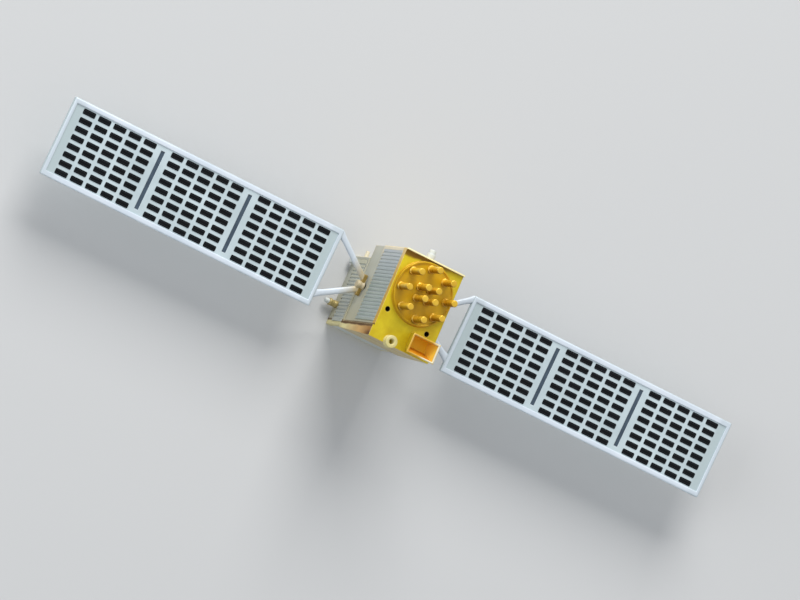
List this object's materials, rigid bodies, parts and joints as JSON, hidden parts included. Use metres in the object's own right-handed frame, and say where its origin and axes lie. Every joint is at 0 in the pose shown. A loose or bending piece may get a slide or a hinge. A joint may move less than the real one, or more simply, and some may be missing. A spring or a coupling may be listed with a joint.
{
  "type": "satellite display model",
  "caption": "Display model of a navigation satellite: stepped gold body, rod antennas on a round deck array, and solar wings that turn on V-shaped yokes.",
  "frame": {"origin": "mouth of the tapped fixing hole, in the middle of the rear face, below the wing axis", "axes": "+Z from the rear face to the antenna deck, +Y along the wing axis, +X across the deck towards the shelf"},
  "size_m": [0.0692, 0.5, 0.088],
  "materials": {
    "gold_hull": "satin gold paint",
    "gold_panel": "satin gold paint, a little redder",
    "gold_fitting": "satin gold paint",
    "gold_rod": "polished, lacquered",
    "gold_horn": "satin orange-gold paint",
    "cream_panel": "satin cream paint",
    "shelf_metal": "satin champagne paint",
    "radiator_grey": "satin light grey, ribbed",
    "white_plastic": "matt white",
    "wing_silver": "silver-white lacquer",
    "solar_cell": "black gloss film",
    "seam_slate": "dark slate film"
  },
  "bodies": {
    "body": {"rear_box": "gold_hull", "rear_top_panel": "cream_panel", "rear_underside_panel": "radiator_grey", "rear_pin": "gold_fitting", "waist_block": "gold_hull", "front_box": "gold_hull", "front_top_panel": "gold_panel", "shelf_plate": "shelf_metal", "array_disc": "gold_fitting", "array_rods": "gold_rod", "white_ring": "white_plastic", "corner_horn": "gold_horn", "top_stub": "white_plastic", "side_stubs_white": "white_plastic", "side_stubs_gold": "gold_fitting", "radiator_front_left": "radiator_grey", "radiator_rear_left": "radiator_grey", "radiator_front_right": "radiator_grey", "radiator_rear_right": "radiator_grey"},
    "wing_left": {"wing_left_yoke": "wing_silver", "wing_left_plate": "wing_silver", "wing_left_seams": "seam_slate", "wing_left_cells": "solar_cell"},
    "wing_right": {"wing_right_yoke": "wing_silver", "wing_right_plate": "wing_silver", "wing_right_seams": "seam_slate", "wing_right_cells": "solar_cell"}
  },
  "joints": [
    {"name": "wing_left_turn", "type": "hinge", "parent": "body", "child": "wing_left", "pos_m": [0, -0.021, 0.0325], "axis": [0, 1, 0], "continuous": true},
    {"name": "wing_right_turn", "type": "hinge", "parent": "body", "child": "wing_right", "pos_m": [0, 0.021, 0.0325], "axis": [0, 1, 0], "continuous": true}
  ]
}
